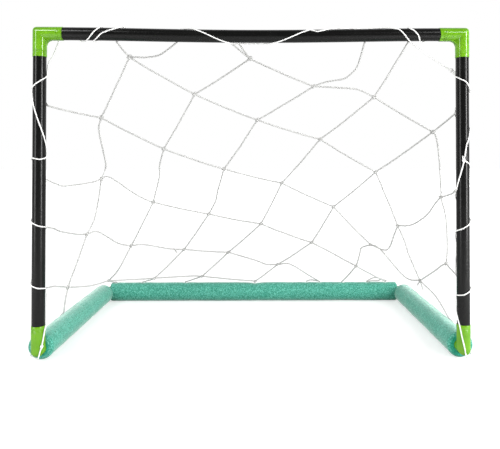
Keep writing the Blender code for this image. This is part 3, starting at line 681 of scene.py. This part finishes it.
KNOTS = {
    "a1b1": (-0.595, 0.935), "a1b2": (-0.775, 0.745), "a1b3": (-0.820, 0.530), "a1b4": (-0.910, 0.325),
    "a1b5": (-1.010, 0.130, 0.37), "a2b0": (-0.010, 0.932), "a2b1": (-0.295, 0.825), "a2b2": (-0.485, 0.640),
    "a2b3": (-0.580, 0.435), "a2b4": (-0.730, 0.255), "a2b5": (-0.900, 0.095, 0.73), "a3b0": (0.310, 0.850),
    "a3b1": (0.025, 0.742), "a3b2": (-0.165, 0.565), "a3b3": (-0.270, 0.380), "a3b4": (-0.440, 0.220),
    "a3b5": (-0.635, 0.090, 0.82), "a4b0": (0.620, 0.815), "a4b1": (0.365, 0.675), "a4b2": (0.165, 0.510),
    "a4b3": (0.045, 0.335), "a4b4": (-0.165, 0.200), "a4b5": (-0.345, 0.080, 0.93), "a5b0": (0.918, 0.695),
    "a5b1": (0.680, 0.555), "a5b2": (0.475, 0.413), "a5b3": (0.365, 0.250), "a5b4": (0.157, 0.138),
    "a5b5": (0.008, 0.052, 0.965), "a6b0": (0.970, 0.470), "a6b1": (0.825, 0.347), "a6b2": (0.708, 0.255),
    "a6b3": (0.645, 0.150), "a7b0": (0.988, 0.242, 0.17), "a7b1": (0.960, 0.132, 0.49),
}  # fmt: skip

# %% [markdown]
# Each line is a list of stops: a knot's name, a free place where the twine bends, or points wound on the frame. Twine
# keeps its direction through a free bend, so those are joined by a smooth curve, but a knot may turn it sharply.
# Between two knots the twine hangs in a very shallow curve and wanders a little, because it was folded in its pack. The
# last six are loose ends: three short tails and three loops that lie on the back float.

# %% Lines
SLACK = 0.012  # sag of a free stretch, as a share of its length
WANDER = 0.0012
noise.seed_set(1)  # the vector noise would otherwise start from the clock, and the net would differ each run


def stretch(points, seed):
    """A free stretch of twine through the points, sagging slightly between its ends."""
    curve = smooth_route(points, 8 if len(points) == 2 else 5)
    length = sum((b - a).length for a, b in zip(curve, curve[1:]))
    made = []
    for i, point in enumerate(curve):
        t = i / (len(curve) - 1)
        ends = 4 * t * (1 - t)
        drift = noise.noise_vector(Vector((seed * 7.3, 3.0 * t, 0.5))) * WANDER
        made.append(point + ends * (drift - Vector((0, 0, SLACK * length * (0.3 if len(points) > 2 else 1)))))
    return made


def line(*stops):
    """The points of one line of the net."""
    points, free = [], []
    for i, stop in enumerate(stops):
        last = i == len(stops) - 1
        if isinstance(stop, tuple):
            free.append(hung(*stop))
            if not last:
                continue
            points += stretch(free, len(points))[1:]
            continue
        fixed = [hung(*KNOTS[stop])] if isinstance(stop, str) else stop
        if free:
            points += stretch([*free, fixed[0]], len(points) + i)[1:]
        points += fixed if not points else fixed[1:]
        free = [fixed[-1]]
    return points


def over_left_float(back):
    return wound(on_left_float, (back, 55), (back, BORDER_ANGLE))


def over_right_float(back):
    return wound(on_right_float, (back, 55), (back, BORDER_ANGLE))


def over_back_float(across):
    return wound(on_back_float, (across, 75), (across, BORDER_ANGLE))


LINES = [
    line(
        wound(on_bar, (-0.355, 840), (-0.356, 945)), (-0.413, 0.954), (-0.451, 0.942), (-0.505, 0.935), "a1b1", "a1b2",
        (-0.795, 0.708), (-0.792, 0.642), (-0.790, 0.576), "a1b3", (-0.845, 0.455), (-0.875, 0.380), "a1b4", "a1b5",
        (-1.022, 0.085, 0.37), over_left_float(0.38),
    ),
    line(
        wound(on_bar, (-0.094, 622)), "a2b0", "a2b1", "a2b2", (-0.518, 0.580), (-0.528, 0.535), "a2b3", "a2b4",
        (-0.805, 0.162), "a2b5", over_back_float(-0.940),
    ),
    line("a2b0", wound(on_bar, (-0.061, 608))),
    line(
        wound(on_bar, (0.541, 835), (0.540, 955)), (0.523, 0.922), (0.511, 0.901), (0.489, 0.885), (0.457, 0.873),
        (0.373, 0.864), "a3b0", "a3b1", "a3b2", (-0.205, 0.482), (-0.222, 0.440), "a3b3", "a3b4", "a3b5",
        over_back_float(-0.760),
    ),
    line(
        wound(on_bar, (0.750, 540), (0.748, 600)), "a4b0", "a4b1", "a4b2", "a4b3", "a4b4", "a4b5",
        over_back_float(-0.470),
    ),
    line(wound(on_right_post, (0.747, 110)), "a5b0", "a5b1", "a5b2", "a5b3", "a5b4", "a5b5", over_back_float(0.005)),
    line(
        wound(on_right_post, (0.503, 78), (0.500, 112)), (0.982, 0.485, 0.09), "a6b0", (0.958, 0.450),
        (0.933, 0.400), (0.882, 0.357), "a6b1", (0.813, 0.304), (0.801, 0.253), (0.774, 0.240), "a6b2",
        (0.662, 0.240), (0.657, 0.209), "a6b3", over_back_float(0.600),
    ),
    line(
        wound(on_right_post, (0.232, 115)), "a7b0", (0.985, 0.234, 0.21), (0.972, 0.200, 0.29), "a7b1",
        (1.006, 0.096, 0.39), (1.022, 0.066, 0.31), over_right_float(0.265),
    ),
    line(
        "a2b0", "a3b0", (0.465, 0.845), (0.542, 0.838), "a4b0", "a5b0", (0.934, 0.678), (0.952, 0.613), (0.968, 0.500),
        "a6b0", (0.985, 0.400, 0.17), (0.990, 0.310, 0.165), "a7b0",
    ),
    line(
        wound(on_bar, (-0.595, 840), (-0.628, 900), (-0.644, 965)), "a1b1", "a2b1", "a3b1", "a4b1", "a5b1",
        (0.768, 0.436), "a6b1", (0.863, 0.289), (0.888, 0.235), "a7b1",
    ),
    line(
        wound(on_left_post, (0.815, -96), (0.771, -250)), "a1b2", "a2b2", "a3b2", "a4b2", "a5b2", "a6b2",
        (0.760, 0.240), (0.892, 0.137, 0.55), "a7b1",
    ),
    line(
        wound(on_left_post, (0.535, 135)), (-0.963, 0.522, 0.09), (-0.942, 0.512, 0.16), (-0.866, 0.518), "a1b3",
        (-0.780, 0.537), (-0.680, 0.477), (-0.619, 0.447), "a2b3", "a3b3", "a4b3", "a5b3", (0.515, 0.197), "a6b3",
        (0.790, 0.090, 0.86), over_back_float(0.900),
    ),
    line(
        wound(on_left_post, (0.385, 90)), (-0.963, 0.372, 0.09), (-0.960, 0.357, 0.16), (-0.942, 0.331), "a1b4",
        (-0.865, 0.328), (-0.790, 0.272), "a2b4", (-0.656, 0.254), (-0.517, 0.227), "a3b4", "a4b4", (0.005, 0.160),
        (0.086, 0.138), "a5b4", (0.236, 0.140), (0.361, 0.085, 0.94), over_back_float(0.447),
    ),
    line(
        wound(on_left_post, (0.192, 90)), (-0.985, 0.175, 0.14), "a1b5", (-0.957, 0.102, 0.57), "a2b5",
        (-0.784, 0.084, 0.82), "a3b5", (-0.424, 0.083, 0.92), "a4b5", (-0.208, 0.067, 0.95), "a5b5",
    ),
    line("a7b1", (0.943, 0.113, 0.49)),
    line("a7b1", (0.978, 0.096, 0.49)),
    line((-0.502, 0.226), (-0.496, 0.224), (-0.486, 0.205)),
    line((0.350, 0.044, 1.0), (0.358, 0.046, 1.0), (0.380, 0.051, 1.0), (0.410, 0.050, 1.0), (0.445, 0.045, 1.0)),
    line(
        (0.762, 0.044, 1.0), (0.770, 0.047, 1.0), (0.793, 0.055, 1.0), (0.826, 0.062, 1.0), (0.860, 0.056, 1.0),
        (0.902, 0.047, 1.0),
    ),
    line((0.766, 0.044, 1.0), (0.774, 0.046, 0.99), (0.805, 0.049, 0.99), (0.840, 0.049, 0.99), (0.870, 0.055, 1.0)),
]  # fmt: skip
net_length = sum((b - a).length for points in LINES for a, b in zip(points, points[1:]))
print(f"net: {len(LINES)} lines, {len(KNOTS)} knots, {net_length:.1f} m of twine")

# %% [markdown]
# ## Twine
#
# A curve with a round bevel is the natural way to draw twine, and it makes the UV map that the strands need. Its
# points are first spread evenly, so that the map's length is true. The finished curve is turned into a mesh.


# %% Twine from points
def spread(points, step):
    """The same route with its points evenly spaced."""
    lengths = [0.0]
    for a, b in zip(points, points[1:]):
        lengths.append(lengths[-1] + (b - a).length)
    count = max(2, round(lengths[-1] / step))
    made, i = [], 0
    for n in range(count + 1):
        wanted = lengths[-1] * n / count
        while i < len(points) - 2 and lengths[i + 1] < wanted:
            i += 1
        span = lengths[i + 1] - lengths[i]
        made.append(points[i].lerp(points[i + 1], (wanted - lengths[i]) / span if span else 0))
    return made, lengths[-1]


def add_twine(bm, points, radius=TWINE_R, closed=False, step=0.004):
    places, length = spread(points, step)
    if closed:
        places.pop()
    curve = bpy.data.curves.new("twine", "CURVE")
    curve.dimensions = "3D"
    curve.bevel_depth = radius
    curve.bevel_resolution = 2
    curve.use_fill_caps = True
    spline = curve.splines.new("POLY")
    spline.points.add(len(places) - 1)
    for point, spot in zip(spline.points, places):
        point.co = (*spot, 1)
    spline.use_cyclic_u = closed
    obj = bpy.data.objects.new("twine", curve)
    bpy.context.scene.collection.objects.link(obj)
    bpy.context.view_layer.update()
    mesh = bpy.data.meshes.new_from_object(obj.evaluated_get(bpy.context.evaluated_depsgraph_get()))
    for corner in mesh.uv_layers[0].data:
        corner.uv.y *= length
    capped = bmesh.new()
    capped.from_mesh(mesh)
    bmesh.ops.remove_doubles(capped, verts=capped.verts, dist=0.000001)
    capped.to_mesh(mesh)
    capped.free()
    bm.from_mesh(mesh)
    bpy.data.objects.remove(obj, do_unlink=True)
    bpy.data.curves.remove(curve)
    bpy.data.meshes.remove(mesh)


# %% [markdown]
# ## Knots
#
# A drawn-up net knot is a small tangle of the same twine. A trefoil, the simplest closed knot, pulled long in the
# direction of its line, gives the right lump with real strands crossing over each other.


# %% Knot from a trefoil
KNOT_POINTS = 36


def add_knot(bm, spot, along, length=0.0135, width=0.0090, radius=NET_TWINE_R):
    """A trefoil that fills the given length and width, strand included."""
    turn = along.to_track_quat("Z", "Y").to_matrix()
    points = []
    for i in range(KNOT_POINTS):
        t = 2 * math.pi * i / KNOT_POINTS
        x, y, z = math.sin(t) + 2 * math.sin(2 * t), math.cos(t) - 2 * math.cos(2 * t), -math.sin(3 * t)
        place = Vector((z * (width / 2 - radius), x / 3 * (width / 2 - radius), y / 3 * (length / 2 - radius)))
        points.append(spot + turn @ place)
    add_twine(bm, points + points[:1], radius, closed=True, step=0.0012)


# %% The net
net = bmesh.new()
for points in LINES:
    add_twine(net, points, NET_TWINE_R)
for key, place in KNOTS.items():
    spot = hung(*place)
    number = int(key[1])
    family = LINES[number - (number < 3)]  # LINES[2] is only the second strand from a2b0 to the bar
    i = min(range(len(family)), key=lambda n: (family[n] - spot).length)
    along = family[min(i + 1, len(family) - 1)] - family[max(i - 1, 0)]
    add_knot(net, spot, along)
add_piece("knotted_net", net, [SHADED_NET_TWINE], ["net"], crease=80)

# %% Lacing, border and tie
FOOT_KNOT_Z = 0.034

left_strand = line(
    wound(on_left_post, (0.864, 90), (0.885, 125)), (-0.976, 0.912, 0.04), (-0.957, 0.942, 0.05), (-0.937, 0.978, 0.05),
    (-0.922, 1.003, 0.05), bar_lacing,
)  # fmt: skip
strand_knot = hung(0.9645, 0.891, 0.04)
right_strand = line(
    wound(on_bar, (0.752, 630)), (0.848, 0.940), (0.905, 0.916), [strand_knot], wound(on_right_post, (0.867, 90))
)
bar_twine = bmesh.new()
add_twine(bar_twine, left_strand)
add_twine(bar_twine, right_strand)
add_knot(bar_twine, strand_knot, right_strand[-1] - right_strand[-3])
add_piece("crossbar_twine", bar_twine, [LACING_TWINE], ["crossbar_lacing"], crease=80)

for word, points in (("left", left_lacing), ("right", right_lacing)):
    twine = bmesh.new()
    add_twine(twine, points)
    add_piece(f"{word}_post_twine", twine, [LACING_TWINE], [f"{word}_post_lacing"], crease=80)

border_twine = bmesh.new()
add_twine(border_twine, border)
foot_knot = min(left_foot, key=lambda point: abs(point.z - FOOT_KNOT_Z))
add_knot(border_twine, foot_knot + Vector((0.0003, -0.0006, 0)), Vector((0.3, 0, 1)), length=0.012, width=0.0062)
add_piece("border_twine_laid", border_twine, [LACING_TWINE], ["border_twine"], crease=80)

tie_spot = on_right_post(0.597, 13)
outward = (tie_spot - Vector((HALF, 0, tie_spot.z))).normalized()
tie_spot += outward * 0.001  # a little proud of the lacing
tie = bmesh.new()
add_twine(tie, [tie_spot, *wound(on_right_post, (0.602, 18), (0.610, 21))])
add_twine(tie, [tie_spot, *wound(on_right_post, (0.593, -2), (0.586, -35), (0.580, -62), (0.573, -90), (0.510, -100))])
add_knot(tie, tie_spot, Vector((0, 0, 1)), length=0.0095, width=0.0070, radius=0.0013)
add_piece("post_tie_knot", tie, [LACING_TWINE], ["right_post_tie"], crease=80)

# %% [markdown]
# ## Foam floats
#
# Each float is turned from an outline with rounded rims and a stepped bore, then cut across every few millimetres.
# That gives it enough points to be shaped like foam. Its skin is slightly lumpy, it is flat where it rests, and it is
# pressed in along every line of twine that crosses it. One tight line dents the back float more widely.

# %% Twine that presses into the foam
PRESS_DEPTH = 0.0017
PRESS_WIDTH = 0.0045
DENT_DEPTH = 0.0022
DENT_WIDTH = 0.022
LUMP_DEPTH = 0.0005
GRAIN_DEPTH = 0.00035
FLOAT_SIDES = 72
RING_PITCH = 0.004
RIM = 0.006  # how far a cut end's edge is rounded
twine_points = [point for points in [*LINES, border] for point in spread(points, 0.002)[0]]
pressing = kdtree.KDTree(len(twine_points))
for i, point in enumerate(twine_points):
    pressing.insert(point, i)
pressing.balance()


def float_profile(length, near_sleeve, far_sleeve, near_rim):
    """Closed outline: down the outside with rounded rims, then up the stepped bore."""
    angles = [math.pi / 2 * i / 6 for i in range(7)]
    far = [(FLOAT_R - RIM * (1 - math.sin(a)), length - RIM * (1 - math.cos(a))) for a in angles]
    near = [(FLOAT_R - near_rim * (1 - math.cos(a)), near_rim * (1 - math.sin(a))) for a in angles]
    rings = round(length / RING_PITCH)
    side = [(FLOAT_R, length - RIM - (length - near_rim - RIM) * i / rings) for i in range(1, rings)]
    wide, narrow = ELBOW_R + FIT, PIPE_R + FIT
    face = [(wide + (FLOAT_R - near_rim - wide) * i / 4, 0) for i in (3, 2, 1, 0)]
    points = far + side + near + face + [(wide, near_sleeve), (narrow, near_sleeve)]
    return points + [(narrow, length - far_sleeve), (wide, length - far_sleeve), (wide, length)]


def add_float(name, length, near_sleeve, far_sleeve, matrix, near_rim=RIM, dent=None, foot=None):
    """Dent is the x of one tight line of twine, and foot the x of the elbow leg that the foam lies behind."""
    profile = float_profile(length, near_sleeve, far_sleeve, near_rim)
    bm = turned(profile + profile[:1], FLOAT_SIDES)
    for face in bm.faces:
        # End faces and bore steps get the cut-foam finish, whose darker tone is partly painted shade.
        face.material_index = int(abs(face.normal.z) > 0.95)
    axis = (matrix.to_3x3() @ Vector((0, 0, 1))).normalized()
    start = matrix.translation
    bmesh.ops.transform(bm, matrix=matrix, verts=bm.verts)
    for vert in bm.verts:
        spoke = vert.co - start
        spoke -= spoke.dot(axis) * axis
        if foot is not None and vert.co.y < 2 * ELBOW_R and vert.co.z > BASE_Z - 0.5 * ELBOW_R:
            behind_leg = math.sqrt(max(0, (ELBOW_R + FIT) ** 2 - (vert.co.x - foot) ** 2))
            vert.co.y = max(vert.co.y, behind_leg)
        if spoke.length < 0.65 * FLOAT_R:
            continue  # the bore keeps its size
        inward = -spoke.normalized()
        _, _, away = pressing.find(vert.co)
        push = PRESS_DEPTH * math.exp(-((away / PRESS_WIDTH) ** 2))
        push += LUMP_DEPTH * noise.noise(vert.co * 28) + GRAIN_DEPTH * noise.noise(vert.co * 110)
        if dent:
            push += DENT_DEPTH * math.exp(-(((vert.co.x - dent) / DENT_WIDTH) ** 2)) * max(0, -inward.z)
        vert.co += inward * push
        vert.co.z = max(vert.co.z, 0)
    bmesh.ops.recalc_face_normals(bm, faces=bm.faces)
    made = add_piece(name + "_foam", bm, [FOAM_SKIN, CUT_FOAM_SHADED], [name], crease=50)
    return made


# %% The three floats
SLEEVE_SLACK = 0.001
along_y = Matrix.Rotation(math.radians(-90), 4, "X")
along_x = Matrix.Rotation(math.radians(90), 4, "Y")
side_end = DEPTH - FLOAT_R - FIT
for side, word, side_start, near_rim in ((-1, "left", 0.006, 0.0115), (1, "right", ELBOW_R + FIT, 0.0065)):
    add_float(
        f"{word}_float",
        side_end - side_start,
        ELBOW_LEG - side_start + SLEEVE_SLACK,
        ELBOW_LEG - FLOAT_R - FIT + SLEEVE_SLACK,
        Matrix.Translation((side * HALF, side_start, BASE_Z)) @ along_y,
        near_rim,
        foot=side * HALF,
    )
back_end = HALF - ELBOW_R - FIT
back_sleeve = ELBOW_LEG - ELBOW_R - FIT + SLEEVE_SLACK
back_matrix = Matrix.Translation((-back_end, DEPTH, BASE_Z)) @ along_x
add_float("back_float", 2 * back_end, back_sleeve, back_sleeve, back_matrix, dent=0.005 * HALF)

# %% [markdown]
# ## Floor and light
#
# The goal stands on pale paper under a white background. To the camera alone the paper glows a little, more so far
# away, so that it reads as white while the goal's soft shadow stays. Other rays see plain pale paper.
#
# Black gloss shows whatever stands before it, so nothing bright stands straight ahead. Two lamps high in the front
# corners light the colours from places that no pipe reflects. Upright softboxes to the left and the right draw the
# lines down the posts and elbows, and two high panels draw the line along the bar's ends. The room's own light is
# strong only behind the goal, where it reaches the foam and the net. A large far lamp on each side fills the foam, and
# a small low one lights each foot. Seen from its end, the bar would mirror a side lamp and turn white, so these four
# are left out of reflections.

# %% Floor
floor_mesh = bpy.data.meshes.new("floor")
bm = bmesh.new()
bmesh.ops.create_grid(bm, x_segments=1, y_segments=1, size=30)
bm.to_mesh(floor_mesh)
bm.free()
floor = bpy.data.objects.new("floor", floor_mesh)
bpy.context.scene.collection.objects.link(floor)

paper, tree, shader = new_material(
    "white_paper_sweep", {"Base Color": linear("#d0d0d0"), "Roughness": 0.95, "Emission Color": (1, 1, 1, 1)}
)
seen = add_node(tree, "ShaderNodeLightPath").outputs["Is Camera Ray"]
place = add_node(tree, "ShaderNodeTexCoord").outputs["Object"]
away = add_node(tree, "ShaderNodeVectorMath", {"operation": "LENGTH"}, {0: place}).outputs["Value"]
lift = add_node(
    tree, "ShaderNodeMapRange", {"From Min": 0.8, "From Max": 3.5, "To Min": 0.52, "To Max": 1.0}, {"Value": away}
)
glow = add_node(tree, "ShaderNodeMath", {"operation": "MULTIPLY"}, {0: seen, 1: lift.outputs["Result"]})
tree.links.new(glow.outputs[0], shader.inputs["Emission Strength"])
floor_mesh.materials.append(paper)

# %% World and lamps
world = bpy.data.worlds.new("studio")
bpy.context.scene.world = world
world.use_nodes = True
tree = world.node_tree
seen = add_node(tree, "ShaderNodeLightPath").outputs["Is Camera Ray"]
direction = add_node(tree, "ShaderNodeTexCoord").outputs["Generated"]
behind = add_node(tree, "ShaderNodeSeparateXYZ", links={"Vector": direction}).outputs["Y"]
room = add_node(
    tree, "ShaderNodeMapRange", {"From Min": -0.1, "From Max": 0.6, "To Min": 0.17, "To Max": 0.9}, {"Value": behind}
)
strength = add_node(tree, "ShaderNodeMath", {"operation": "MAXIMUM"}, {0: seen, 1: room.outputs["Result"]})
background = tree.nodes["Background"]
background.inputs["Color"].default_value = (1, 1, 1, 1)
tree.links.new(strength.outputs[0], background.inputs["Strength"])


def softbox(name, place, target, width, height, power, mirrored=True):
    lamp = bpy.data.lights.new(name, "AREA")
    lamp.shape = "RECTANGLE"
    lamp.size, lamp.size_y, lamp.energy = width, height, power
    made = bpy.data.objects.new(name, lamp)
    made.location = place
    made.rotation_euler = (Vector(target) - Vector(place)).to_track_quat("-Z", "Y").to_euler()
    made.visible_glossy = mirrored
    bpy.context.scene.collection.objects.link(made)


softbox("corner_left", (-2.0, -1.7, 2.1), (0, -0.2, 0.3), 0.8, 0.8, 19)
softbox("corner_right", (2.0, -1.7, 2.1), (0, -0.2, 0.3), 0.8, 0.8, 20)
softbox("top_left_softbox", (-1.45, -1.85, 2.3), (-0.2, -0.2, 0.5), 0.8, 0.6, 17)
softbox("top_right_panel", (1.35, -1.95, 1.75), (0.3, -0.2, 0.6), 0.6, 0.5, 8)
softbox("right_softbox", (1.96, -1.41, 0.70), (0, -0.2, 0.3), 0.45, 1.4, 36)
softbox("left_strip", (-1.75, -1.45, 0.70), (0, -0.2, 0.3), 0.50, 1.4, 15)
softbox("side_right", (4.2, 0.0, 1.3), (0, -0.1, 0.2), 2.0, 2.0, 100, mirrored=False)
softbox("side_left", (-4.2, 0.0, 1.3), (0, -0.1, 0.2), 2.0, 2.0, 34, mirrored=False)
softbox("foot_left_fill", (-0.8, -1.0, 0.25), (-0.44, -0.25, 0.05), 0.3, 0.3, 1.7, mirrored=False)
softbox("foot_right_fill", (0.8, -1.0, 0.25), (0.44, -0.25, 0.05), 0.3, 0.3, 3.0, mirrored=False)

bpy.context.scene.view_settings.view_transform = "Standard"
